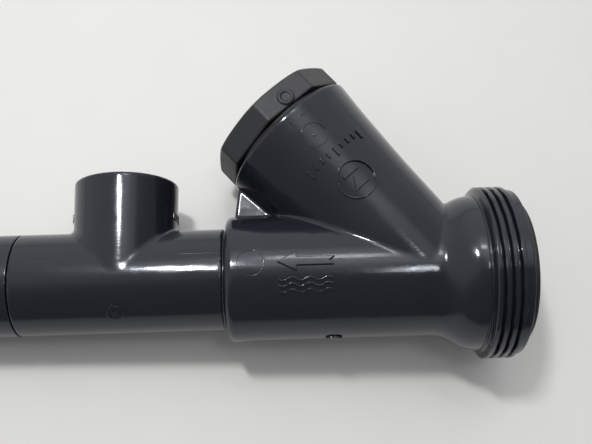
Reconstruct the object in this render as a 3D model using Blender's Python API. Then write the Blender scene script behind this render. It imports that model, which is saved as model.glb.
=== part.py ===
"""Y-pattern ball check valve cemented to a branch tee, lying on its side.

Working lengths are millimetres from the point where the run axis (+X, towards
the threaded inlet) crosses the branch axis; put() turns them into metres in
the shared frame.
"""
import bpy
from math import cos, sin, pi, radians, sqrt

MM = 0.001
GAP = 0.3                      # clearance between neighbouring pieces
SHIFT = (102.75, -32.859, 42.1)  # crossing point seen from the shared frame

# valve body
BARREL_R = 30.7
OUTLET_X = -96.5
SOCKET_R, SOCKET_DEPTH = 25.3, 31.0
BORE_R = 22.0
BELL = ((0, 30.7), (5, 31.0), (7.5, 31.9), (11.2, 33.9), (15.9, 36.2), (20.6, 37.8), (25, 38.8))
END_X, END_R = 43.0, 40.5
THREAD_R, ROOT_R, PITCH = 42.1, 38.9, 4.0
THREAD_FROM, THREAD_TO, CREST_X = 24.6, 41.2, 26.2
SEAT_STEP_X, SEAT_STEP_R = 13.6, 29.5
MOUTH_X, MOUTH_R = 22.0, 35.0

# angled branch and its screw cap
BRANCH_DEG = 131.0
CHAMBER_R = 26.5
CONE = ((0, 31.0), (25, 32.1), (45, 33.1), (62, 34.4), (80, 36.0), (90, 37.1))
RIM_S, RIM_R = 97.4, 37.9
CAP_PITCH, CAP_THREAD_S, CAP_CREST_S = 4.0, 85.2, 87.0
CAP_MINOR, CAP_MAJOR, THREAD_PLAY = 30.4, 31.9, 0.55
HEAD_S, HEAD_TOP_S, HEAD_CORNER_R, HEAD_TURN = 99.9, 111.4, 37.5, 28.5
CHAMFER_H, CHAMFER_SLOPE = 1.3, 0.46
WEB_T = 6.0

# ball
BALL_R, CORE_R = 25.0, 21.0

# tee, nipples, coupling
TEE_X, TEE_HALF, TEE_R, TEE_BRANCH_R = -147.0, 49.3, 25.0, 25.75
PIPE_R, PIPE_BORE, PIPE_SOCKET, PIPE_STOP = 20.0, 17.0, 26.0, 18.0
COUPLING_LEN, JOINT_GAP = 55.0, 1.2

ANG = radians(BRANCH_DEG)
RUN = ((1, 0, 0), (0, 1, 0))
BRANCH = ((cos(ANG), sin(ANG), 0), (-sin(ANG), cos(ANG), 0))
SIDE = ((0, 1, 0), (-1, 0, 0))


def clear_scene():
    for item in list(bpy.data.objects):
        bpy.data.objects.remove(item, do_unlink=True)


def make_collections():
    main = bpy.data.collections.new("ball_check_valve_set")
    tools = bpy.data.collections.new("cutters")
    for box in (main, tools):
        bpy.context.scene.collection.children.link(box)
    tools.hide_render = True
    return main, tools


def put(point):
    return tuple((c + o) * MM for c, o in zip(point, SHIFT))


def on_axis(frame, s, r, theta, base):
    axis, e1 = frame
    c, k = r * cos(theta), r * sin(theta)
    return (base[0] + axis[0] * s + e1[0] * c, base[1] + axis[1] * s + e1[1] * c, base[2] + k)


def signed_volume(verts, faces):
    total = 0.0
    for face in faces:
        a = verts[face[0]]
        for i in range(1, len(face) - 1):
            b, c = verts[face[i]], verts[face[i + 1]]
            total += (a[0] * (b[1] * c[2] - b[2] * c[1]) - a[1] * (b[0] * c[2] - b[2] * c[0])
                      + a[2] * (b[0] * c[1] - b[1] * c[0]))
    return total


def add_mesh(name, verts, faces, home):
    if signed_volume(verts, faces) < 0:
        faces = [tuple(reversed(f)) for f in faces]
    mesh = bpy.data.meshes.new(name)
    mesh.from_pydata([put(v) for v in verts], [], faces)
    mesh.update()
    obj = bpy.data.objects.new(name, mesh)
    home.objects.link(obj)
    if home.hide_render:
        obj.hide_render = True
        obj.display_type = 'WIRE'
    return obj


def turned(name, profile, frame, home, seg=48, base=(0, 0, 0), phase=0.0):
    """Turn a closed outline of (station, radius) about an axis.

    A radius may be a function of the angle; a radius of 0 is a pole.
    """
    verts, rings, faces = [], [], []
    for s, r in profile:
        if r == 0:
            verts.append(on_axis(frame, s, 0, 0, base))
            rings.append([len(verts) - 1])
            continue
        ring = []
        for j in range(seg):
            theta = phase + 2 * pi * j / seg
            verts.append(on_axis(frame, s, r(theta) if callable(r) else r, theta, base))
            ring.append(len(verts) - 1)
        rings.append(ring)
    closed = profile[0][1] != 0
    for i in range(len(rings) if closed else len(rings) - 1):
        a, b = rings[i], rings[(i + 1) % len(rings)]
        for j in range(seg):
            k = (j + 1) % seg
            if len(a) == 1:
                faces.append((a[0], b[j], b[k]))
            elif len(b) == 1:
                faces.append((a[j], b[0], a[k]))
            else:
                faces.append((a[j], b[j], b[k], a[k]))
    return add_mesh(name, verts, faces, home)


def helix_radius(s, root, crest, pitch, crest_s, start, stop, fade=1.6):
    """Radius of a rounded right-hand thread at station s, as a function of angle."""
    grow = min(1.0, max(0.0, (s - start) / fade), max(0.0, (stop - s) / fade))

    def radius(theta):
        wave = 0.5 + 0.5 * cos(2 * pi * ((s - crest_s) / pitch) - theta)
        return root + (crest - root) * grow * min(1.0, max(0.0, 1.5 * wave - 0.25))
    return radius


def stations(start, stop, step):
    n = max(1, round((stop - start) / step))
    return [start + (stop - start) * i / n for i in range(n + 1)]


def ring_section(name, frame, home, s, r, radius, seg=36, sides=8):
    pts = [(s + radius * sin(2 * pi * i / sides), r + radius * cos(2 * pi * i / sides))
           for i in range(sides)]
    return turned(name, pts, frame, home, seg)


def sphere_profile(radius, rows, centre=0.0):
    return [(centre + radius * cos(pi * i / rows), radius * sin(pi * i / rows) if 0 < i < rows else 0)
            for i in range(rows + 1)]


def boolean(obj, tool, operation):
    mod = obj.modifiers.new(tool.name, 'BOOLEAN')
    mod.operation = operation
    mod.solver = 'EXACT'
    mod.object = tool


def prism(name, outline, z0, z1, home):
    n = len(outline)
    verts = [(x, y, z0) for x, y in outline] + [(x, y, z1) for x, y in outline]
    faces = [tuple(reversed(range(n))), tuple(range(n, 2 * n))]
    faces += [(i, (i + 1) % n, n + (i + 1) % n, n + i) for i in range(n)]
    return add_mesh(name, verts, faces, home)


def valve_body(main, tools):
    outer = [(OUTLET_X, 0), (OUTLET_X, BARREL_R - 1.6), (OUTLET_X + 0.5, BARREL_R - 0.5),
             (OUTLET_X + 1.7, BARREL_R)]
    outer += list(BELL)
    for s in stations(THREAD_FROM + 0.6, THREAD_TO - 0.3, 0.66):
        outer.append((s, helix_radius(s, ROOT_R, THREAD_R, PITCH, CREST_X, THREAD_FROM, THREAD_TO)))
    outer += [(THREAD_TO, END_R - 0.4), (END_X - 0.7, END_R), (END_X, END_R - 0.7), (END_X, 0)]
    body = turned("valve_body", outer, RUN, main)

    cone = [(0.0, 0)] + list(CONE) + [(RIM_S - 0.6, RIM_R), (RIM_S, RIM_R - 0.6), (RIM_S, 0)]
    boolean(body, turned("branch_solid", cone, BRANCH, tools), 'UNION')
    web = [(-92.6, 27.5), (-90.6, 46.2), (-86, 48), (-70, 30), (-70, 27.5)]
    boolean(body, prism("web_solid", web, -WEB_T / 2, WEB_T / 2, tools), 'UNION')

    stop_x = OUTLET_X + SOCKET_DEPTH
    run = [(OUTLET_X - 5, 0), (OUTLET_X - 5, SOCKET_R), (stop_x, SOCKET_R), (stop_x, BORE_R),
           (0, BORE_R), (SEAT_STEP_X, BORE_R), (SEAT_STEP_X, SEAT_STEP_R), (MOUTH_X, SEAT_STEP_R),
           (MOUTH_X, MOUTH_R), (END_X + 5, MOUTH_R), (END_X + 5, 0)]
    hollow = turned("run_cutter", run, RUN, tools)

    rows = 9
    chamber = [(-CHAMBER_R * cos(pi / 2 * i / rows), CHAMBER_R * sin(pi / 2 * i / rows))
               for i in range(rows)]
    chamber[0] = (-CHAMBER_R, 0)
    chamber += [(0, CHAMBER_R), (CAP_THREAD_S - 1.2, CHAMBER_R)]
    minor, major = CAP_MINOR + THREAD_PLAY, CAP_MAJOR + THREAD_PLAY
    chamber.append((CAP_THREAD_S - 1.2, minor))
    for s in stations(CAP_THREAD_S, RIM_S + 1, 0.66):
        chamber.append((s, helix_radius(s, minor, major, CAP_PITCH, CAP_CREST_S,
                                        CAP_THREAD_S - 3, RIM_S + 9)))
    chamber += [(RIM_S + 5, major), (RIM_S + 5, 0)]
    boolean(hollow, turned("chamber_cutter", chamber, BRANCH, tools, phase=radians(2.3)), 'UNION')
    boolean(body, hollow, 'DIFFERENCE')
    return body


def screw_cap(main, tools):
    turn = radians(HEAD_TURN)
    flat = HEAD_CORNER_R * cos(pi / 8)

    def octagon(most=HEAD_CORNER_R):
        def radius(theta):
            local = (theta - turn) % (pi / 4) - pi / 8
            return min(flat / cos(local), most)
        return radius

    low, skirt, lid = 86.0, 24.0, 105.0
    outer = [(lid, 0), (lid, skirt), (low, skirt), (low, CAP_MINOR - 0.8), (low + 0.8, CAP_MINOR)]
    for s in stations(low + 1.4, HEAD_S - 1.2, 0.66):
        outer.append((s, helix_radius(s, CAP_MINOR, CAP_MAJOR, CAP_PITCH, CAP_CREST_S,
                                      low + 0.8, HEAD_S - 2.2, 1.2)))
    outer += [(HEAD_S, CAP_MINOR), (HEAD_S, octagon()), (HEAD_TOP_S, octagon())]
    outer += [(HEAD_TOP_S + up, octagon(HEAD_CORNER_R - up / CHAMFER_SLOPE)) for up in (0.4, 0.85, CHAMFER_H)]
    outer.append((HEAD_TOP_S + CHAMFER_H, 0))
    cap = turned("screw_cap", outer, BRANCH, main, phase=turn)
    lug_len, lug_w, lug_up = 9.3, 10.0, 1.2
    facet = turn + pi / 8 + 1 * pi / 4
    arc = [(HEAD_S + 0.2, -lug_w / 2)]
    for i in range(7):
        a = -pi / 2 + pi * i / 6
        arc.append((HEAD_S + 0.2 + lug_len - lug_w / 2 + lug_w / 2 * cos(a), lug_w / 2 * sin(a)))
    arc.append((HEAD_S + 0.2, lug_w / 2))
    verts = []
    for depth in (flat - 1.5, flat + lug_up):
        for s, across in arc:
            c = depth * cos(facet) - across * sin(facet)
            k = depth * sin(facet) + across * cos(facet)
            (ax, ay, _), (ex, ey, _) = BRANCH
            verts.append((ax * s + ex * c, ay * s + ey * c, k))
    n = len(arc)
    faces = [tuple(reversed(range(n))), tuple(range(n, 2 * n))]
    faces += [(i, (i + 1) % n, n + (i + 1) % n, n + i) for i in range(n)]
    boolean(cap, add_mesh("lug_solid", verts, faces, tools), 'UNION')
    return cap


def ball(main, tools):
    seg, rows = 32, 16
    coating = turned("ball_coating", sphere_profile(BALL_R, rows), BRANCH, main, seg)
    boolean(coating, turned("coating_cutter", sphere_profile(CORE_R + GAP, rows), BRANCH, tools, seg),
            'DIFFERENCE')
    vent = [(CORE_R - 2, 0), (CORE_R - 2, 1.0), (BALL_R + 2, 1.0), (BALL_R + 2, 0)]
    boolean(coating, turned("vent_cutter", vent, BRANCH, tools, 12), 'DIFFERENCE')
    core = turned("ball_core", sphere_profile(CORE_R, 12), BRANCH, main, 24)
    return [coating, core]


def seat_parts(main):
    seat_r = sqrt((BALL_R + GAP) ** 2 - 13.9 ** 2)
    seat = [(13.9, seat_r), (17.9, seat_r), (17.9, 28.9), (13.9, 28.9)]
    face = END_X - 0.3
    carrier = [(18.2, 21.0), (face - 1.5, 21.0), (face, 22.5), (face, 28.7), (face - 4, 28.7),
               (face - 4, 33.3), (face, 33.3), (face, 34.2), (face - 0.5, 34.7), (32.1, 34.7),
               (32.1, 32.1), (27.9, 32.1), (27.9, 34.7), (22.3, 34.7), (22.3, 29.2), (18.2, 29.2)]
    gasket = [(face - 3.7, 29.0), (46.2, 29.0), (47.0, 29.8), (47.0, 34.0), (46.7, 34.7),
              (46.0, 35.0), (43.4, 35.0), (43.4, 33.0), (face - 3.7, 33.0)]
    return [turned("seat_ring", seat, RUN, main),
            turned("seat_carrier", carrier, RUN, main),
            ring_section("carrier_o_ring", RUN, main, 30.0, 33.6, 1.3),
            turned("face_gasket", gasket, RUN, main)]


def branch_tee(main, tools):
    half = TEE_HALF
    run = [(-half, 0), (-half, TEE_R - 1), (-half + 1, TEE_R), (half - 1, TEE_R),
           (half, TEE_R - 1), (half, 0)]
    tee = turned("branch_tee", run, RUN, main, base=(TEE_X, 0, 0))
    neck = [(0, 0), (0, TEE_BRANCH_R - 0.9), (TEE_HALF - 1, TEE_BRANCH_R), (TEE_HALF, TEE_BRANCH_R - 1),
            (TEE_HALF, 0)]
    boolean(tee, turned("tee_neck", neck, SIDE, tools, base=(TEE_X, 0, 0)), 'UNION')
    socket, step = PIPE_R + GAP, half - PIPE_SOCKET
    bore = [(-half - 5, 0), (-half - 5, socket), (-step, socket), (-step, PIPE_STOP),
            (step, PIPE_STOP), (step, socket), (half + 5, socket), (half + 5, 0)]
    hollow = turned("tee_bore", bore, RUN, tools, base=(TEE_X, 0, 0))
    mouth = [(0, 0), (0, PIPE_STOP - 0.1), (step, PIPE_STOP - 0.1), (step, socket),
             (half + 5, socket), (half + 5, 0)]
    boolean(hollow, turned("tee_mouth", mouth, SIDE, tools, base=(TEE_X, 0, 0)), 'UNION')
    boolean(tee, hollow, 'DIFFERENCE')
    return tee


def tube(name, x0, x1, outer, inner, main, seg=40):
    return turned(name, [(x0, inner), (x1, inner), (x1, outer), (x0, outer)], RUN, main, seg)


def pipework(main):
    right = TEE_X + TEE_HALF
    left = TEE_X - TEE_HALF
    depth = PIPE_SOCKET - GAP
    stop_x = OUTLET_X + SOCKET_DEPTH
    c1 = left - JOINT_GAP
    c0 = c1 - COUPLING_LEN
    socket = PIPE_R + GAP
    coupling = [(c0, socket), (c0 + PIPE_SOCKET, socket), (c0 + PIPE_SOCKET, PIPE_STOP),
                (c1 - PIPE_SOCKET, PIPE_STOP), (c1 - PIPE_SOCKET, socket), (c1, socket),
                (c1, TEE_R - 1), (c1 - 1, TEE_R), (c0 + 1, TEE_R), (c0, TEE_R - 1)]
    return [tube("reducing_bush", OUTLET_X + GAP, stop_x - GAP, SOCKET_R - GAP, socket, main),
            tube("pipe_nipple_right", right - depth, stop_x - GAP, PIPE_R, PIPE_BORE, main),
            tube("pipe_nipple_left", c1 - depth, left + depth, PIPE_R, PIPE_BORE, main),
            turned("pipe_coupling", coupling, RUN, main)]


def paint(obj, color, roughness):
    mat = bpy.data.materials.new(obj.name + "_mat")
    mat.use_nodes = True
    shader = mat.node_tree.nodes["Principled BSDF"]
    shader.inputs["Base Color"].default_value = (*color, 1)
    shader.inputs["Roughness"].default_value = roughness
    obj.data.materials.append(mat)


def main():
    clear_scene()
    home, tools = make_collections()
    plastic, dark, rubber, metal = (0.060, 0.066, 0.078), (0.075, 0.078, 0.085), (0.012,) * 3, (0.5,) * 3
    body, cap = valve_body(home, tools), screw_cap(home, tools)
    o_ring = ring_section("cap_o_ring", BRANCH, home, (RIM_S + HEAD_S) / 2, 33.1, 1.15)
    coating, core = ball(home, tools)
    seat, carrier, carrier_ring, gasket = seat_parts(home)
    for obj in [body, branch_tee(home, tools), carrier] + pipework(home):
        paint(obj, plastic, 0.3)
    paint(cap, dark, 0.5)
    paint(core, metal, 0.4)
    for obj in (o_ring, coating, seat, carrier_ring, gasket):
        paint(obj, rubber, 0.6)


main()
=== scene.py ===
"""Looks of the ball check valve on its branch tee.

Most shapes are distance functions, and the rest are turned or swept. All are in
millimetres from the point where the run's and the branch's axes cross, and are
moved into the frame by SHIFT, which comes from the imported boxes.
"""
from math import cos, sin, pi, radians

import bpy
import numpy as np
from mathutils import Matrix, Vector


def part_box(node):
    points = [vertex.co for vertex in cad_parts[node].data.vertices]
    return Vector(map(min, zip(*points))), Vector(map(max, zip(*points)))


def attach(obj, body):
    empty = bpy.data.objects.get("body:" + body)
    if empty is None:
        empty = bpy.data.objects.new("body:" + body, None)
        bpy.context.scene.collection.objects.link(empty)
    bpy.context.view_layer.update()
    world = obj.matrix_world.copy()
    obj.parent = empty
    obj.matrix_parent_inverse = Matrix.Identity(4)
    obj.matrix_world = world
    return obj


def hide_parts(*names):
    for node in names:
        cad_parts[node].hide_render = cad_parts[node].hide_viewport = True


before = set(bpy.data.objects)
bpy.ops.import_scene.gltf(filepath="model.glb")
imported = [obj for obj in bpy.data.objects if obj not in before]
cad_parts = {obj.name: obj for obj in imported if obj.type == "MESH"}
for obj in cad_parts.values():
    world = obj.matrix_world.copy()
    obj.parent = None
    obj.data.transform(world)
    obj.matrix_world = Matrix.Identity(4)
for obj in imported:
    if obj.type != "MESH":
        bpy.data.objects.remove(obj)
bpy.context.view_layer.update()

ANG = radians(131.0)
AXIS = np.array((cos(ANG), sin(ANG), 0.0))
SIDE = np.array((-sin(ANG), cos(ANG), 0.0))

BARREL_R, OUTLET_X, END_X = 30.7, -96.5, 43.0
BELL = ((-110, 30.7), (-1, 30.7), (2, 30.75), (5, 31.1), (8, 32.2), (11.2, 33.9), (14, 35.5), (16.5, 36.6),
        (19, 37.4), (21.5, 37.85), (24, 38.05), (28, 38.1), (60, 38.1))
PITCH, CREST_X = 3.85, 25.5
CAP_PITCH, CAP_CREST_S = 4.0, 87.0
CONE = ((-20, 30.6), (0, 30.62), (6, 30.95), (25, 32.1), (45, 33.1), (62, 34.4), (80, 36.0), (90, 37.1),
        (97.4, 37.9), (110, 38.8))
HEAD_R = 37.5
RIM_S, HEAD_S, CORNER_S, HEAD_TOP_S, HEAD_FLAT = 97.4, 99.9, 111.4, 112.7, HEAD_R * cos(pi / 8)
SLEEVE_X, SLEEVE_BORE = 24.0, 35.0
TEE_X, TEE_HALF, TEE_R = -147.0, 49.3, 25.0
SOCKET_R, SOCKET_DEPTH, PIPE_BORE = 20.3, 26.0, 18.0


def crossing():
    """Where the run's and the branch's axes cross, in mm: the zero point of every shape here."""
    body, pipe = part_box("valve_body"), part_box("pipe_coupling")
    middle = (np.array(pipe[0]) + np.array(pipe[1])) * 500
    return np.round(np.array((body[1][0] * 1000 - END_X, middle[1], middle[2])), 3)


SHIFT = crossing()


# ---------------------------------------------------------------- distance tools

def smin(a, b, k):
    h = np.clip(0.5 + 0.5 * (b - a) / k, 0, 1)
    return b + (a - b) * h - k * h * (1 - h)


def smax(a, b, k):
    return -smin(-a, -b, k)


def curve_table(points, step=0.25):
    """A smooth monotone curve through points, as a fine table."""
    x = np.array([p[0] for p in points], float)
    y = np.array([p[1] for p in points], float)
    d = np.diff(y) / np.diff(x)
    m = np.zeros(len(x))
    for i in range(1, len(x) - 1):
        if d[i - 1] * d[i] > 0:
            m[i] = 2 * d[i - 1] * d[i] / (d[i - 1] + d[i])
    fine = np.arange(x[0], x[-1] + step, step)
    i = np.clip(np.searchsorted(x, fine) - 1, 0, len(x) - 2)
    h = x[i + 1] - x[i]
    t = np.clip((fine - x[i]) / h, 0, 1)
    val = ((1 + 2 * t) * (1 - t) ** 2 * y[i] + t * (1 - t) ** 2 * h * m[i]
           + t * t * (3 - 2 * t) * y[i + 1] + t * t * (t - 1) * h * m[i + 1])
    return fine, val


BELL_TABLE, CONE_TABLE = curve_table(BELL), curve_table(CONE)


def thread(s, theta, pitch, crest_s, start, stop, fade):
    """0 at the root and 1 on the crest of a right-hand thread."""
    grow = np.clip(np.minimum((s - start) / fade, (stop - s) / fade), 0, 1)
    wave = 0.5 + 0.5 * np.cos(2 * pi * (s - crest_s) / pitch - theta)
    w = np.clip(1.9 * wave - 0.02, 0, 1)
    return grow * w * w * (3 - 2 * w)


def drum(r, s, radius, s0, s1):
    return np.maximum(r - radius, np.maximum(s - s1, s0 - s))


# ---------------------------------------------------------------- meshing

def surface_net(f, lo, hi, h):
    """Vertices and quads on the zero level of f over a box."""
    n = [int(round((b - a) / h)) + 1 for a, b in zip(lo, hi)]
    ax = [np.linspace(a, a + h * (m - 1), m).astype(np.float32) for a, m in zip(lo, n)]
    grid = np.empty(n, np.float32)
    for i in range(0, n[0], 24):
        gx, gy, gz = np.meshgrid(ax[0][i:i + 24], ax[1], ax[2], indexing="ij")
        grid[i:i + 24] = f(gx, gy, gz)
    inside = grid < 0
    shape = [m - 1 for m in n]
    total = np.zeros(shape + [3], np.float32)
    count = np.zeros(shape, np.float32)
    for axis in range(3):
        lo_s = [slice(None)] * 3
        hi_s = [slice(None)] * 3
        lo_s[axis], hi_s[axis] = slice(0, -1), slice(1, None)
        a, b = grid[tuple(lo_s)], grid[tuple(hi_s)]
        cross = inside[tuple(lo_s)] != inside[tuple(hi_s)]
        t = np.where(cross, a / np.where(a == b, 1, a - b), 0)
        others = [k for k in range(3) if k != axis]
        for p in (0, 1):
            for q in (0, 1):
                sl = [slice(None)] * 3
                sl[others[0]] = slice(p, n[others[0]] - 1 + p)
                sl[others[1]] = slice(q, n[others[1]] - 1 + q)
                c = cross[tuple(sl)]
                total[..., axis] += np.where(c, t[tuple(sl)], 0)
                total[..., others[0]] += c * p
                total[..., others[1]] += c * q
                count += c
    active = count > 0
    index = np.full(shape, -1, np.int64)
    index[active] = np.arange(active.sum())
    cell = np.argwhere(active)
    verts = (cell + total[active] / count[active][:, None]) * h + np.array(lo)
    quads = []
    for axis in range(3):
        u, v = (axis + 1) % 3, (axis + 2) % 3
        sl = [slice(1, -1)] * 3
        sl[axis] = slice(0, -1)
        nx = [slice(1, -1)] * 3
        nx[axis] = slice(1, None)
        s0, s1 = inside[tuple(sl)], inside[tuple(nx)]
        for flip, mask in ((False, s0 & ~s1), (True, ~s0 & s1)):
            c = np.argwhere(mask)
            c[:, u] += 1
            c[:, v] += 1
            ring = []
            for du, dv in ((1, 1), (0, 1), (0, 0), (1, 0)):
                k = c.copy()
                k[:, u] -= du
                k[:, v] -= dv
                ring.append(index[k[:, 0], k[:, 1], k[:, 2]])
            ring = ring[::-1] if flip else ring
            quads.append(np.stack(ring, 1))
    return verts, np.concatenate(quads)


def settle(f, verts, rounds=2, limit=0.5):
    """Move vertices onto the zero level."""
    e = 0.02
    for _ in range(rounds):
        x, y, z = verts.T
        v = f(x, y, z)
        g = np.stack([f(x + e, y, z) - f(x - e, y, z), f(x, y + e, z) - f(x, y - e, z),
                      f(x, y, z + e) - f(x, y, z - e)], 1) / (2 * e)
        n2 = np.maximum((g * g).sum(1), 0.05)
        verts = verts - g * np.clip(v / n2, -limit, limit)[:, None]
    return verts


def new_object(name, verts_mm, faces):
    mesh = bpy.data.meshes.new(name)
    co = (np.asarray(verts_mm, float) + SHIFT) * 0.001
    mesh.from_pydata(co.tolist(), [], [tuple(map(int, f)) for f in faces])
    mesh.update()
    mesh.shade_smooth()
    obj = bpy.data.objects.new(name, mesh)
    bpy.context.scene.collection.objects.link(obj)
    return obj


def solid(name, f, lo, hi, h, most=None):
    verts, quads = surface_net(f, lo, hi, h)
    verts = settle(f, verts.astype(float))
    obj = new_object(name, verts, quads)
    if most and 2 * len(quads) > most:
        mod = obj.modifiers.new("fewer", 'DECIMATE')
        mod.ratio = most / (2 * len(quads))
        bake(obj)
    obj.data.set_sharp_from_angle(angle=radians(48))
    return obj


def bake(obj):
    dg = bpy.context.evaluated_depsgraph_get()
    mesh = bpy.data.meshes.new_from_object(obj.evaluated_get(dg))
    obj.modifiers.clear()
    obj.data = mesh
    mesh.shade_smooth()


# ---------------------------------------------------------------- valve body

def branch_coords(x, y, z):
    s = x * AXIS[0] + y * AXIS[1]
    e = x * SIDE[0] + y * SIDE[1]
    return s, np.sqrt(e * e + z * z), np.arctan2(z, e)


def body_shape(x, y, z):
    r = np.sqrt(y * y + z * z)
    s, rb, phi = branch_coords(x, y, z)
    run = np.maximum(r - np.interp(x, *BELL_TABLE) + 0.5 * np.clip(x - SLEEVE_X, 0, 1), x - SLEEVE_X - 0.8)
    run = smax(run, OUTLET_X - x, 4.0)
    arm = smax(rb - np.interp(s, *CONE_TABLE), s - RIM_S, 1.6)
    arm = smax(arm, -y, 1.0)
    left = (x + 92.6) * -0.9917 + (y - 30.7) * 0.128
    web = smax(smax(np.abs(z) - 3.0, left, 1.5), s - 95.0, 2.0)
    web = np.maximum(web, np.maximum(5 - y, 10 + x * -SIDE[0] + y * -SIDE[1]))
    e = x * SIDE[0] + y * SIDE[1]
    meet = (y * e * SIDE[1] + z * z) / np.maximum(r * rb, 1.0)
    soft = 0.05 + 2.2 * np.sqrt(np.clip(1 - meet, 0, 1))
    both = smin(run, arm, soft)
    outer = smin(both, web, 1.2)
    bore = np.minimum(drum(r, x, 25.3, -120, -65.5), drum(r, x, 22.0, -80, 13.6))
    bore = np.minimum(bore, drum(r, x, 29.5, 13.6, 30))
    bore = np.minimum(bore, drum(r, x, SLEEVE_BORE, 22.0, 60))
    bore = np.minimum(bore, (r - 25.3 - np.clip(-95.2 - x, 0, 9)) * 0.7)
    ball_room = np.minimum(drum(rb, s, 26.5, 0, 90), np.sqrt(x * x + y * y + z * z) - 26.5)
    female = 30.95 + 1.5 * thread(s, phi, CAP_PITCH, CAP_CREST_S, 81.0, 112.0, 1.0)
    neck = np.maximum(rb - female - np.clip(s - 96.4, 0, 2), 84.0 - s)
    return smax(outer, -np.minimum(np.minimum(bore, ball_room), neck), 0.5)


def bell_sleeve():
    """The threaded end, from where the bell is plain round to the mouth."""
    th = np.linspace(0, 2 * pi, 288, endpoint=False)
    x = np.concatenate([[SLEEVE_X], np.arange(24.2, END_X - 0.5, 0.2)])
    ridge = thread(x[:, None], th[None], PITCH, CREST_X, 24.2, 40.4, 1.0)
    lip = np.clip((x - 38.4) / 0.7, 0, 1)
    root = 1.3 * np.clip((x - 25.0) / 1.2, 0, 1)
    band = 1.1 * (lip * lip * (3 - 2 * lip))[:, None]
    r = (np.interp(x, *BELL_TABLE) + root)[:, None] + np.maximum(2.7 * ridge, band)
    rim = np.interp(END_X, *BELL_TABLE) + 2.4
    extra = [(END_X - 0.4, rim - 0.04), (END_X - 0.15, rim - 0.16), (END_X - 0.04, rim - 0.32),
             (END_X, rim - 0.6), (END_X, 36.1), (END_X - 0.1, 35.7), (END_X - 1.0, SLEEVE_BORE),
             (SLEEVE_X, SLEEVE_BORE)]
    x = np.concatenate([x, [e[0] for e in extra]])
    r = np.concatenate([r, [[e[1]] * len(th) for e in extra]])
    along = np.broadcast_to(x[:, None], r.shape)
    verts = np.stack([along, r * np.cos(th), r * np.sin(th)], -1).reshape(-1, 3)
    n, seg = r.shape
    faces = [(i * seg + j, i * seg + (j + 1) % seg,
              (i + 1) % n * seg + (j + 1) % seg, (i + 1) % n * seg + j)
             for i in range(n) for j in range(seg)]
    obj = new_object("threaded_end_skin", verts, faces)
    obj.data.set_sharp_from_angle(angle=radians(50))
    return obj


def tee_shape(x, y, z):
    x = x - TEE_X
    r, rn = np.sqrt(y * y + z * z), np.sqrt(x * x + z * z)
    run = smax(r - TEE_R, np.abs(x) - TEE_HALF, 0.8)
    neck = smax(rn - (24.95 + 0.8 * y / TEE_HALF), y - TEE_HALF, 1.0)
    neck = smax(neck, -y, 2.0)
    meet = z * z / np.maximum(r * rn, 1.0)
    outer = smin(run, neck, 0.05 + 2.4 * np.sqrt(np.clip(1 - meet, 0, 1)))
    step = TEE_HALF - SOCKET_DEPTH

    def lead_in(radius, t):
        """The chamfer at a socket's mouth, t along the socket's axis."""
        return (radius - SOCKET_R - np.clip(t - TEE_HALF + 1.2, 0, 9)) * 0.7 + np.where(t < 40, 99, 0)
    ax = np.abs(x)
    bore = np.minimum(r - np.where(ax > step, SOCKET_R, PIPE_BORE), lead_in(r, ax))
    mouth = np.maximum(rn - np.where(y > step, SOCKET_R, PIPE_BORE), -y)
    mouth = np.minimum(mouth, lead_in(rn, y))
    return smax(outer, -np.minimum(bore, mouth), 0.5)


def cap_shape(s, e, z):
    """In the branch's own axes."""
    r, phi = np.sqrt(e * e + z * z), np.arctan2(z, e)
    turn = radians(51.0)
    head = None
    for k in range(8):
        a = turn + k * pi / 4
        d = e * cos(a) + z * sin(a) - HEAD_FLAT
        head = d if head is None else smax(head, d, 0.7)
    cone = HEAD_R - (s - CORNER_S) / 0.46
    head = smax(head, smax(s - HEAD_TOP_S, (r - cone) * 0.42, 0.8), 0.7)
    head = smax(head, HEAD_S - s, 0.9)
    facet = turn + pi / 4
    out = e * cos(facet) + z * sin(facet) - HEAD_FLAT
    across = -e * sin(facet) + z * cos(facet)
    along = s - (HEAD_S + 4.4)
    disc = np.hypot(across, along) - 4.0
    lug = smax(disc, np.abs(out) - 1.1, 0.6)
    dish = smax(disc + 1.5, 0.35 - out, 0.5)
    lug = smax(lug, -dish, 0.4)
    plug = 30.4 + 1.5 * thread(s, phi, CAP_PITCH, CAP_CREST_S, 86.6, 97.9, 1.3)
    plug = smax(r - plug, 86.0 - s, 1.0)
    plug = np.maximum(plug, s - HEAD_S - 3)
    body = smin(smin(head, lug, 0.6), plug, 0.5)
    hollow = smax(r - 24.0, s - 105.0, 2.0)
    return smax(body, -hollow, 0.5)


def branch_to_run(verts):
    """From (along, side, up) of the branch to the run's axes."""
    return verts[:, :1] * AXIS + verts[:, 1:2] * SIDE + verts[:, 2:] * np.array((0, 0, 1.0))


# ---------------------------------------------------------------- turned parts

RUN_AXES = (np.array((1.0, 0, 0)), np.array((0, 1.0, 0)))
ARM_AXES = (AXIS, SIDE)


def rounded(points, radii):
    """A closed outline with its corners rounded."""
    out = []
    n = len(points)
    for i, (p, rad) in enumerate(zip(points, radii)):
        p = np.array(p, float)
        a, b = np.array(points[i - 1], float) - p, np.array(points[(i + 1) % n], float) - p
        la, lb = np.linalg.norm(a), np.linalg.norm(b)
        a, b = a / la, b / lb
        cut = min(rad, 0.45 * la, 0.45 * lb)
        if cut <= 0:
            out.append(p)
            continue
        for t in (0, 0.25, 0.5, 0.75, 1):
            out.append(p + a * cut * (1 - t) ** 2 + b * cut * t ** 2)
    return out


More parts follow.
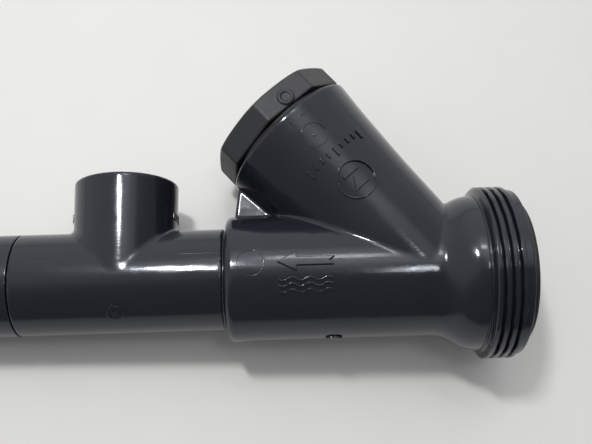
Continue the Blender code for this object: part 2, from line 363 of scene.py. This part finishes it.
def turned(name, outline, axes, seg=144):
    along, side = axes
    th = np.linspace(0, 2 * pi, seg, endpoint=False)
    pts = np.array(outline)
    radial = np.cos(th)[:, None] * side + np.sin(th)[:, None] * np.array((0, 0, 1.0))
    verts = (pts[:, None, :1] * along + pts[:, None, 1:] * radial[None]).reshape(-1, 3)
    n = len(pts)
    faces = []
    for i in range(n):
        k = (i + 1) % n
        for j in range(seg):
            m = (j + 1) % seg
            faces.append((i * seg + j, k * seg + j, k * seg + m, i * seg + m))
    area = sum(pts[i - 1][0] * pts[i][1] - pts[i][0] * pts[i - 1][1] for i in range(n))
    if area > 0:
        faces = [f[::-1] for f in faces]
    obj = new_object(name, verts, faces)
    obj.data.set_sharp_from_angle(angle=radians(40))
    return obj


def torus(name, s, r, radius, axes, seg=144):
    pts = [(s + radius * sin(a), r + radius * cos(a)) for a in np.linspace(0, 2 * pi, 20, endpoint=False)]
    return turned(name, pts, axes, seg)


def tube(name, x0, x1, outer, inner):
    return turned(name, rounded([(x0, inner), (x1, inner), (x1, outer), (x0, outer)], [0.4] * 4), RUN_AXES)


# ---------------------------------------------------------------- raised marks

def poly_distance(u, v, pts):
    """Signed distance to a polygon, negative inside."""
    best, inside = np.full(u.shape, 1e9), np.zeros(u.shape, bool)
    for (x0, y0), (x1, y1) in zip(pts, pts[1:] + pts[:1]):
        dx, dy = x1 - x0, y1 - y0
        t = np.clip(((u - x0) * dx + (v - y0) * dy) / (dx * dx + dy * dy), 0, 1)
        best = np.minimum(best, np.hypot(u - x0 - t * dx, v - y0 - t * dy))
        if dy:
            inside ^= ((y0 > v) != (y1 > v)) & (u < x0 + (v - y0) * dx / dy)
    return np.where(inside, -best, best)


def bar(u, v, u0, u1, v0, v1, rad=0.35):
    """Signed distance to a box with rounded corners."""
    du = np.abs(u - (u0 + u1) / 2) - (u1 - u0) / 2 + rad
    dv = np.abs(v - (v0 + v1) / 2) - (v1 - v0) / 2 + rad
    return np.hypot(np.maximum(du, 0), np.maximum(dv, 0)) + np.minimum(np.maximum(du, dv), 0) - rad


def emboss(name, mark, span, height, place, cell=0.22, soft=0.35):
    """Raise a flat mark of distance mark(u, v) over span and bend it with place(u, v, up)."""
    (u0, u1), (v0, v1) = span

    def f(u, v, w):
        return smax(smax(mark(u, v), w - height, soft), -0.45 - w, 0.1)
    verts, quads = surface_net(f, (u0, v0, -0.45 - 3 * cell), (u1, v1, height + 3 * cell), cell)
    verts = settle(f, verts.astype(float), 2, 0.1)
    return new_object(name, place(*verts.T), quads)


def on_run(radius, centre_deg):
    """u along the run, v down the near side, up outwards."""
    def place(u, v, up):
        a = radians(centre_deg) + v / radius
        r = radius + up
        return np.stack([u, r * np.cos(a), r * np.sin(a)], 1)
    return place


def on_arm(centre_deg):
    """u along the branch towards the cap, v round it, up outwards."""
    def place(u, v, up):
        radius = np.interp(u, *CONE_TABLE)
        a = radians(centre_deg) + v / radius
        r = radius + up
        return (u[:, None] * AXIS + (r * np.cos(a))[:, None] * SIDE
                + (r * np.sin(a))[:, None] * np.array((0, 0, 1.0)))
    return place


# ---------------------------------------------------------------- build

def build():
    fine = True
    h = 0.8 if fine else 1.1
    made = []

    def keep(obj, body, slot, *nodes):
        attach(obj, body)
        if nodes:
            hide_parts(*nodes)
        made.append((obj, slot))

    skin = solid("valve_body_skin", body_shape, (-99, -44.6, -44.6), (27, 100.4, 44.6), h, 190000)
    keep(skin, "valve", "grey_pvc", "valve_body")
    keep(bell_sleeve(), "valve", "grey_pvc", "valve_body")
    tee = solid("branch_tee_skin", tee_shape, (-198.4, -26.6, -26.6), (-95.6, 51.4, 26.6),
                h, 90000)
    keep(tee, "valve", "grey_pvc", "branch_tee")
    verts, quads = surface_net(cap_shape, (84.4, -39.4, -39.4), (114.4, 39.4, 39.4),
                               0.55 if fine else 0.8)
    verts = settle(cap_shape, verts.astype(float))
    cap = new_object("screw_cap_skin", branch_to_run(verts), quads)
    keep(cap, "cap", "cap_plastic", "screw_cap")

    c1, c0 = TEE_X - TEE_HALF - 0.45, TEE_X - TEE_HALF - 56.2
    stop0, stop1 = c0 + SOCKET_DEPTH, c1 - SOCKET_DEPTH
    coupling = [(c0, SOCKET_R), (stop0, SOCKET_R), (stop0, PIPE_BORE), (stop1, PIPE_BORE),
                (stop1, SOCKET_R), (c1, SOCKET_R), (c1, TEE_R), (c0, TEE_R)]
    outline = rounded(coupling, [0.8, 0.3, 0.3, 0.3, 0.3, 0.6, 0.5, 1.1])
    keep(turned("pipe_coupling_skin", outline, RUN_AXES), "valve", "grey_pvc", "pipe_coupling")
    keep(tube("nipple_right_skin", -123.4, -65.8, 20, 17), "valve", "grey_pvc", "pipe_nipple_right")
    keep(tube("nipple_left_skin", -223.2, -170.6, 20, 17), "valve", "grey_pvc", "pipe_nipple_left")
    keep(tube("bush_skin", -96.2, -65.8, TEE_R, SOCKET_R), "valve", "grey_pvc", "reducing_bush")

    face = END_X - 0.3
    carrier = [(18.2, 21), (face, 21), (face, 28.7), (face - 4, 28.7), (face - 4, 33.3),
               (face, 33.3), (face, 34.7), (32.1, 34.7), (32.1, 32.1), (27.9, 32.1),
               (27.9, 34.7), (22.3, 34.7), (22.3, 29.2), (18.2, 29.2)]
    keep(turned("seat_carrier_skin", rounded(carrier, [0.5, 1.6] + [0.3] * 12), RUN_AXES),
         "seat_insert", "grey_pvc", "seat_carrier")
    seat = [(13.9, 21.13), (17.9, 21.13), (17.9, 28.9), (13.9, 28.9)]
    keep(turned("seat_ring_skin", rounded(seat, [0.9, 0.5, 0.5, 0.9]), RUN_AXES),
         "seat_insert", "black_rubber", "seat_ring")
    gasket = [(face - 3.7, 29), (47.0, 29), (47.0, 35), (43.4, 35), (43.4, 33), (face - 3.7, 33)]
    keep(turned("face_gasket_skin", rounded(gasket, [0.3, 1.0, 1.4, 0.5, 0.2, 0.3]), RUN_AXES),
         "seat_insert", "black_rubber", "face_gasket")
    keep(torus("carrier_o_ring_skin", 30.0, 33.6, 1.3, RUN_AXES), "seat_insert", "black_rubber",
         "carrier_o_ring")
    keep(torus("cap_o_ring_skin", (RIM_S + HEAD_S) / 2, 33.1, 1.15, ARM_AXES), "cap_seal", "black_rubber",
         "cap_o_ring")
    keep(ball_skin(), "ball", "ball_rubber", "ball_coating")
    made.append((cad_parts["ball_core"], "ball_metal"))

    for obj in marks() + [cement_bead()]:
        keep(obj, "valve", "grey_pvc")
    return made


def ball_skin():
    rows, seg, radius = 72, 144, 25.0
    verts, faces = [], []
    for i in range(rows + 1):
        a = pi * i / rows
        for j in range(seg):
            b = 2 * pi * j / seg
            flash = 0.0 if abs(a - pi / 2) > 0.03 else -0.12
            r = radius + flash
            verts.append((r * cos(a), r * sin(a) * cos(b), r * sin(a) * sin(b)))
    for i in range(rows):
        for j in range(seg):
            k = (j + 1) % seg
            faces.append((i * seg + j, (i + 1) * seg + j, (i + 1) * seg + k, i * seg + k))
    v = branch_to_run(np.array(verts))
    obj = new_object("ball_skin", v, faces)
    mod = obj.modifiers.new("join", 'WELD')
    mod.merge_threshold = 0.00001
    bake(obj)
    return obj


def cement_bead():
    """Dried solvent cement squeezed into the lower part of the joint between tee and valve."""
    rng = np.random.default_rng(5)
    seg, ring = 260, 10
    th = np.linspace(0, 2 * pi, seg, endpoint=False)
    waves = zip((3, 7, 17, 41, 90), (0.10, 0.10, 0.09, 0.08, 0.06), rng.uniform(0, 6, 5))
    wobble = sum(a * np.cos(k * th + p) for k, a, p in waves)
    lower = np.clip(0.2 - np.cos(th), 0, 1)
    centre = 23.6 + 0.75 * lower + wobble * lower
    width = 0.62 + 0.25 * lower * (1 + wobble)
    verts, faces = [], []
    for j in range(seg):
        for i in range(ring):
            b = 2 * pi * i / ring
            rough = 1 + 0.22 * lower[j] * rng.uniform(-1, 1)
            r = centre[j] + 0.9 * cos(b) * rough
            verts.append((-97.1 + width[j] * sin(b) * rough, r * cos(th[j]), r * sin(th[j])))
    for j in range(seg):
        k = (j + 1) % seg
        for i in range(ring):
            m = (i + 1) % ring
            faces.append((j * ring + i, j * ring + m, k * ring + m, k * ring + i))
    return new_object("cement_bead", verts, faces)


def on_neck(centre_deg):
    """u along the tee's branch, v round it, up outwards."""
    def place(u, v, up):
        a = radians(centre_deg) + v / 25.4
        r = 24.95 + 0.8 * u / TEE_HALF + up
        return np.stack([TEE_X + r * np.cos(a), u, r * np.sin(a)], 1)
    return place


def marks():
    out = []
    top = on_run(BARREL_R, 90)
    tip, wide, shaft, mid = -71.9, 4.5, 1.9, -1.7
    head, tail, notch = tip + 8.9, -45.4, -48.2
    arrow = [(tip, mid), (head, mid - wide), (head, mid - shaft), (tail, mid - shaft), (notch, mid),
             (tail, mid + shaft), (head, mid + shaft), (head, mid + wide)]
    out.append(emboss("flow_arrow", lambda u, v: poly_distance(u, v, arrow),
                      ((-74, -43), (-8, 5)), 1.3, top, 0.2, 0.12))

    def ejector(u, v):
        return np.abs(np.hypot(u + 84.1, v + 1.8) - 6.2) - 0.18
    out.append(emboss("ejector_ring", ejector, ((-92, -76), (-10, 6)), 0.2, top, 0.16, 0.08))

    def waves(u, v):
        d = None
        for row in (6.3, 9.0, 11.7):
            line = np.abs(v - row - 0.75 * np.sin(2 * pi * (u + 71.5) / 8.3)) * 0.87 - 0.42
            line = np.maximum(line, np.abs(u + 59.0) - 12.6)
            d = line if d is None else np.minimum(d, line)
        return d
    out.append(emboss("flow_waves", waves, ((-73, -45), (4, 14)), 0.65, top, 0.2, 0.14))

    under = on_run(BARREL_R, 169)

    def gate(u, v):
        return np.hypot((u + 45.9) / 3.9, v / 1.3) * 1.3 - 1.3
    out.append(emboss("gate_mark", gate, ((-51, -41), (-2.5, 2.5)), 1.0, under, 0.2, 0.5))

    arm = on_arm(90)

    def date_ring(u, v):
        x, y = u - 80.5, v - 0.2
        d = np.abs(np.hypot(x, y) - 6.0) - 0.16
        return np.minimum(d, np.hypot(x, y) - 0.9)
    out.append(emboss("date_ring", date_ring, ((73, 88), (-7.5, 8)), 0.3, arm, 0.18, 0.1))

    def badge(u, v):
        x, y = u - 51.8, v - 0.4
        d = np.abs(np.hypot(x, y) - 9.1) - 0.38
        tri = [(-4.3, -4.2), (-4.3, 4.2), (2.6, 0.0)]
        d = np.minimum(d, poly_distance(x, y, tri))
        return np.minimum(d, bar(x, y, 3.3, 5.0, -4.4, 4.4, 0.2))
    out.append(emboss("round_badge", badge, ((41.5, 62), (-10, 11)), 1.0, arm, 0.2, 0.12))

    def scale(u, v):
        """A plain scale: evenly spaced ticks, every fourth one longer."""
        d = None
        for k in range(9):
            mid = -14.0 + 4.1 * k
            low = 65.3 if k % 4 == 0 else 67.2
            box = bar(u, v, low, 70.4, mid - 0.6, mid + 0.6)
            d = box if d is None else np.minimum(d, box)
        return d
    out.append(emboss("branch_marks", scale, ((64, 72), (-18, 22)), 0.85, arm, 0.2, 0.12))

    def rim_marks(u, v):
        return np.minimum(bar(u, v, 89.8, 93.6, -4.4, -3.6, 0.1),
                          bar(u, v, 91.2, 92.0, 1.8, 4.2, 0.1))
    out.append(emboss("rim_marks", rim_marks, ((88.5, 95), (-6, 6)), 0.3, arm, 0.18, 0.12))

    stamp = on_run(TEE_R, 134)

    def stamped(u, v):
        x, y = u - (TEE_X - 0.5), v
        d = np.abs(np.hypot(x, y) - 3.6) - 0.3
        d = np.minimum(d, np.hypot(x + 1.0, y + 4.2) - 0.8)
        for turn in (0.6, 2.2):
            p, q = x * cos(turn) + y * sin(turn), -x * sin(turn) + y * cos(turn)
            d = np.minimum(d, bar(p, q, -2.2, 2.2, -0.3, 0.3, 0.1))
        return d
    out.append(emboss("tee_stamp", stamped, ((TEE_X - 6, TEE_X + 5), (-6, 5)), 0.4, stamp,
                      0.18, 0.18))

    seam = on_run(TEE_R, 90)
    for name, u0, u1 in (("seam_left", -188.0, -174.2), ("seam_right", -119.0, -99.5)):
        out.append(emboss(name, lambda u, v, a=u0, b=u1: bar(u, v, a, b, -8.65, -8.4, 0.05),
                          ((u0 - 1, u1 + 1), (-9.6, -7.5)), 0.07, seam, 0.15, 0.05))

    def side_marks(u, v):
        d = None
        for k in range(4):
            box = np.abs(bar(u, v, 30.0, 33.4, -7.0 + 3.6 * k, -4.4 + 3.6 * k) + 0.35) - 0.35
            d = box if d is None else np.minimum(d, box)
        return d
    for name, az in (("neck_marks_left", 178), ("neck_marks_right", 2)):
        out.append(emboss(name, side_marks, ((29, 34.5), (-8, 8)), 0.5, on_neck(az), 0.2, 0.18))
    return out


# ---------------------------------------------------------------- materials

def tree_of(mat):
    mat.use_nodes = True
    return mat.node_tree, mat.node_tree.nodes["Principled BSDF"]


def node(tree, kind, **values):
    n = tree.nodes.new(kind)
    for key, value in values.items():
        if key in n.inputs:
            n.inputs[key].default_value = value
        else:
            setattr(n, key, value)
    return n


def ramp(tree, source, stops):
    n = tree.nodes.new("ShaderNodeValToRGB")
    el = n.color_ramp.elements
    while len(el) < len(stops):
        el.new(0.5)
    for e, (pos, val) in zip(el, stops):
        e.position = pos
        e.color = (val, val, val, 1) if isinstance(val, float) else (*val, 1)
    tree.links.new(source, n.inputs["Fac"])
    return n.outputs["Color"]


def coords(tree, stretch=(1, 1, 1)):
    c = tree.nodes.new("ShaderNodeTexCoord")
    m = tree.nodes.new("ShaderNodeMapping")
    m.inputs["Scale"].default_value = stretch
    tree.links.new(c.outputs["Object"], m.inputs["Vector"])
    return m.outputs["Vector"]


def noise(tree, vector, scale, detail=4.0, rough=0.55):
    n = node(tree, "ShaderNodeTexNoise", Scale=scale, Detail=detail, Roughness=rough)
    tree.links.new(vector, n.inputs["Vector"])
    return n.outputs["Fac"]


def mix_color(tree, fac, a, b):
    n = node(tree, "ShaderNodeMix", data_type='RGBA')
    tree.links.new(fac, n.inputs["Factor"])
    for socket, value in ((n.inputs[6], a), (n.inputs[7], b)):
        if isinstance(value, tuple):
            socket.default_value = (*value, 1)
        else:
            tree.links.new(value, socket)
    return n.outputs[2]


def bump(tree, shader, height, strength, distance):
    b = node(tree, "ShaderNodeBump", Strength=strength, Distance=distance)
    tree.links.new(height, b.inputs["Height"])
    tree.links.new(b.outputs["Normal"], shader.inputs["Normal"])


def pvc():
    mat = bpy.data.materials.new("grey_pvc_looks")
    tree, sh = tree_of(mat)
    sh.inputs["IOR"].default_value = 1.54
    sh.inputs["Specular Tint"].default_value = (0.88, 0.93, 1.0, 1)
    v = coords(tree)
    cloud = noise(tree, v, 45.0, 3.0)
    dust = ramp(tree, noise(tree, v, 1500.0, 2.0, 0.7), [(0.0, 0.0), (0.72, 0.0), (0.80, 0.5)])
    base = mix_color(tree, cloud, (0.0112, 0.0118, 0.0172), (0.0140, 0.0148, 0.0215))
    tree.links.new(mix_color(tree, dust, base, (0.16, 0.155, 0.15)), sh.inputs["Base Color"])
    rough = ramp(tree, noise(tree, v, 110.0, 5.0, 0.65), [(0.3, 0.09), (0.7, 0.16)])
    tree.links.new(rough, sh.inputs["Roughness"])
    scr = noise(tree, coords(tree, (0.12, 1.0, 1.0)), 900.0, 2.0, 0.6)
    add = node(tree, "ShaderNodeMath", operation='MULTIPLY_ADD')
    tree.links.new(noise(tree, v, 150.0, 3.0), add.inputs[0])
    add.inputs[1].default_value = 1.6
    tree.links.new(scr, add.inputs[2])
    bump(tree, sh, add.outputs[0], 0.10, 0.0002)
    return mat


def cap_plastic():
    mat = bpy.data.materials.new("cap_plastic_looks")
    tree, sh = tree_of(mat)
    v = coords(tree)
    grain = noise(tree, v, 2600.0, 3.0, 0.6)
    base = mix_color(tree, noise(tree, v, 60.0), (0.020, 0.021, 0.023), (0.027, 0.028, 0.031))
    tree.links.new(base, sh.inputs["Base Color"])
    tree.links.new(ramp(tree, noise(tree, v, 300.0), [(0.3, 0.44), (0.7, 0.56)]), sh.inputs["Roughness"])
    bump(tree, sh, grain, 0.35, 0.00015)
    return mat


def rubber(name, base, low, high):
    mat = bpy.data.materials.new(name)
    tree, sh = tree_of(mat)
    v = coords(tree)
    tone = mix_color(tree, noise(tree, v, 80.0), base, tuple(c * 1.6 for c in base))
    tree.links.new(tone, sh.inputs["Base Color"])
    tree.links.new(ramp(tree, noise(tree, v, 500.0), [(0.3, low), (0.7, high)]), sh.inputs["Roughness"])
    bump(tree, sh, noise(tree, v, 1800.0), 0.2, 0.0001)
    return mat


def core_metal():
    mat = bpy.data.materials.new("core_metal_looks")
    tree, sh = tree_of(mat)
    sh.inputs["Metallic"].default_value = 1.0
    v = coords(tree)
    tone = mix_color(tree, noise(tree, v, 200.0), (0.42, 0.42, 0.43), (0.56, 0.56, 0.57))
    tree.links.new(tone, sh.inputs["Base Color"])
    tree.links.new(ramp(tree, noise(tree, v, 900.0), [(0.3, 0.35), (0.7, 0.55)]), sh.inputs["Roughness"])
    bump(tree, sh, noise(tree, v, 1500.0), 0.3, 0.0001)
    return mat


def floor_material():
    mat = bpy.data.materials.new("floor_looks")
    tree, sh = tree_of(mat)
    v = coords(tree)
    tone = mix_color(tree, noise(tree, v, 30.0, 6.0), (0.76, 0.75, 0.735), (0.80, 0.79, 0.775))
    tree.links.new(tone, sh.inputs["Base Color"])
    sh.inputs["Roughness"].default_value = 0.6
    return mat


# ---------------------------------------------------------------- stage

def stage():
    tilt = radians(3.2)
    pivot = (END_X - 1.5 + SHIFT[0]) * 0.001
    bpy.ops.mesh.primitive_plane_add(size=6.0, location=(pivot, 0, -0.0004), rotation=(0, tilt, 0))
    floor = bpy.context.object
    floor.name = "floor"
    floor.data.materials.append(floor_material())

    cam = bpy.data.cameras.new("camera")
    cam.sensor_width = 36.0
    cam.lens = 46.2
    cam.clip_start, cam.clip_end = 0.01, 20
    obj = bpy.data.objects.new("camera", cam)
    bpy.context.scene.collection.objects.link(obj)
    turn = np.array((0.26545, -0.01503, -0.03170))
    size = float(np.linalg.norm(turn))
    place = (np.array((-69.27, -71.71, 369.19)) + SHIFT) * 0.001
    rot = Matrix.Rotation(size, 4, (turn / size).tolist())
    obj.matrix_world = Matrix.Translation(place.tolist()) @ rot
    bpy.context.scene.camera = obj


def area_light(name, direction, distance, size, power, aim):
    """A rectangular lamp at distance metres from aim, facing it."""
    d = np.array(direction, float)
    d /= np.linalg.norm(d)
    light = bpy.data.lights.new(name, 'AREA')
    light.shape = 'RECTANGLE'
    light.size, light.size_y = size
    light.energy = power
    obj = bpy.data.objects.new(name, light)
    bpy.context.scene.collection.objects.link(obj)
    pos = np.array(aim) + d * distance
    rot = Vector((-d).tolist()).to_track_quat('-Z', 'Y').to_matrix().to_4x4()
    obj.matrix_world = Matrix.Translation(pos.tolist()) @ rot


def lobe(tree, direction, centre, inner, outer, amount):
    """A soft round glow in the sky: angles in degrees."""
    c = np.array(centre, float)
    dot = node(tree, "ShaderNodeVectorMath", operation='DOT_PRODUCT')
    tree.links.new(direction, dot.inputs[0])
    dot.inputs[1].default_value = (c / np.linalg.norm(c)).tolist()
    m = node(tree, "ShaderNodeMapRange", interpolation_type='SMOOTHSTEP')
    tree.links.new(dot.outputs["Value"], m.inputs["Value"])
    m.inputs["From Min"].default_value = cos(radians(outer))
    m.inputs["From Max"].default_value = cos(radians(inner))
    m.inputs["To Max"].default_value = amount
    return m.outputs["Result"]


def room():
    """A plain studio: a wide pale ceiling that is brighter behind the object than in front of it."""
    world = bpy.data.worlds.new("room")
    bpy.context.scene.world = world
    world.use_nodes = True
    tree = world.node_tree
    direction = tree.nodes.new("ShaderNodeTexCoord").outputs["Generated"]
    dot = node(tree, "ShaderNodeVectorMath", operation='DOT_PRODUCT')
    tree.links.new(direction, dot.inputs[0])
    dot.inputs[1].default_value = (-0.48, 0.88, 0.0)
    half = node(tree, "ShaderNodeMath", operation='MULTIPLY_ADD')
    tree.links.new(dot.outputs["Value"], half.inputs[0])
    half.inputs[1].default_value = 0.5
    half.inputs[2].default_value = 0.5
    sky = [(0.0, 0.15), (0.20, 0.17), (0.34, 0.19), (0.42, 0.24), (0.47, 0.36),
           (0.52, 0.52), (0.62, 0.66), (0.85, 0.72), (1.0, 0.66)]
    glows = (((0.02, 0.42, 0.90), 3, 20, 1.0), ((0.26, 0.20, 0.95), 3, 20, 0.6),
             ((0.0, 0.80, 0.55), 10, 45, 0.25))
    total = ramp(tree, half.outputs[0], sky)
    for centre, inner, outer, amount in glows:
        add = node(tree, "ShaderNodeMath", operation='ADD')
        tree.links.new(total, add.inputs[0])
        tree.links.new(lobe(tree, direction, centre, inner, outer, amount), add.inputs[1])
        total = add.outputs[0]
    bg = tree.nodes["Background"]
    bg.inputs["Color"].default_value = (0.98, 0.99, 1.0, 1)
    tree.links.new(total, bg.inputs["Strength"])


def lights():
    aim = (0.05, 0.0, 0.07)
    area_light("ceiling_panel", (0.055, 0.42, 0.92), 1.6, (0.32, 0.15), 1.2, aim)
    area_light("ceiling_lamp", (0.20, -0.045, 0.98), 1.6, (0.22, 0.06), 1.1, aim)
    area_light("key_lamp", (-0.21, 0.27, 0.94), 0.8, (0.056, 0.11), 2.9, aim)
    room()
    bpy.context.scene.view_settings.view_transform = 'Standard'


def main():
    looks = {"grey_pvc": pvc(), "cap_plastic": cap_plastic(),
             "black_rubber": rubber("black_rubber_looks", (0.010, 0.010, 0.011), 0.45, 0.6),
             "ball_rubber": rubber("ball_rubber_looks", (0.014, 0.014, 0.015), 0.35, 0.5),
             "ball_metal": core_metal()}
    for obj, slot in build():
        obj.data.materials.clear()
        obj.data.materials.append(looks[slot])
    stage()
    lights()


main()
